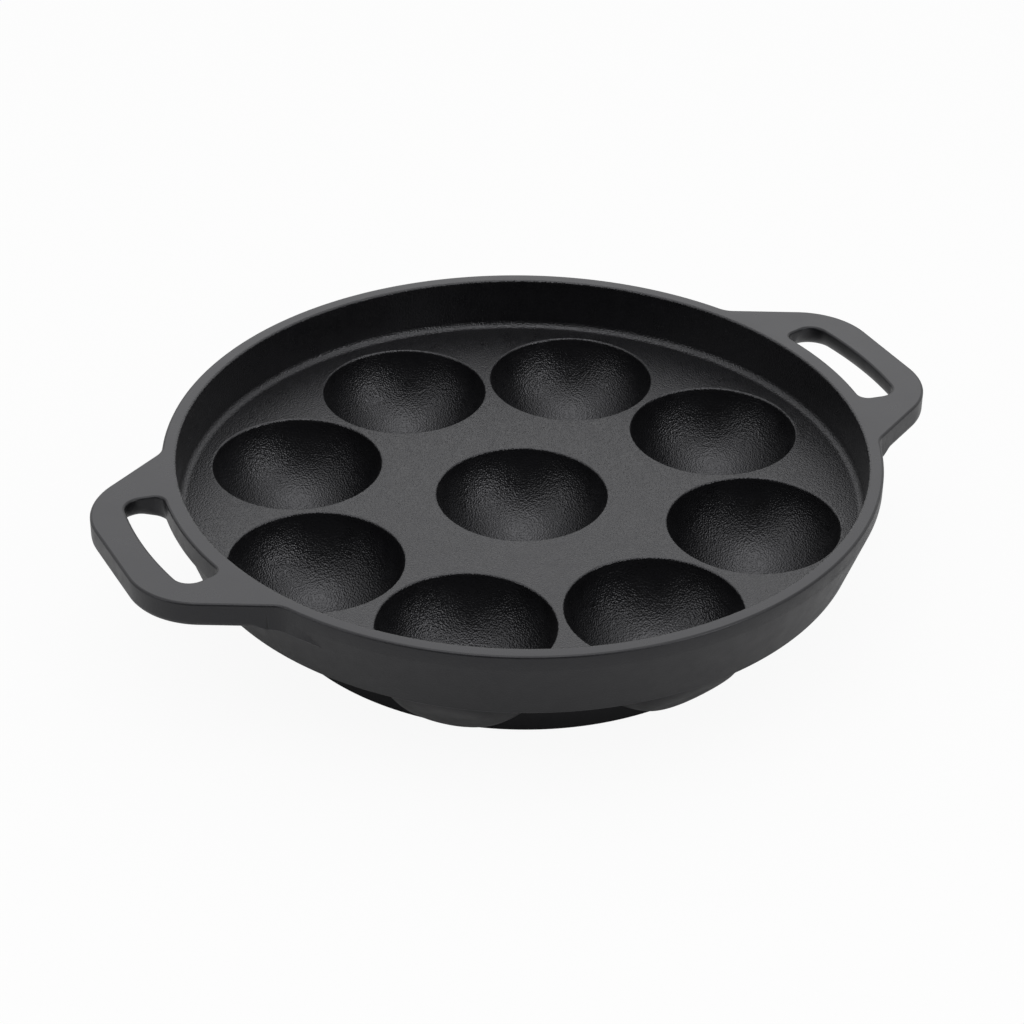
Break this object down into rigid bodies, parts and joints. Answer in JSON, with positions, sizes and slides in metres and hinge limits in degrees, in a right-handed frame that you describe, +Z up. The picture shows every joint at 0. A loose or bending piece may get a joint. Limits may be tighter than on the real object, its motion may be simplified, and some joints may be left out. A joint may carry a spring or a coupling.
{
  "type": "paniyaram pan",
  "caption": "Round cast-iron pan with hemispherical cups in a flat floor, a low wall, a base ring below and two slotted side handles flush with the rim.",
  "frame": {"origin": "centre of the base ring's flat underside, on the surface the pan stands on", "axes": "+X along the two handles, +Z up out of the cups, Y across"},
  "size_m": [0.279, 0.23, 0.0498],
  "materials": {
    "iron": "black seasoned cast iron, satin on the ground top faces and pebbled in the bowl and the cups"
  },
  "bodies": {
    "root": {"pan": "iron"}
  },
  "joints": []
}
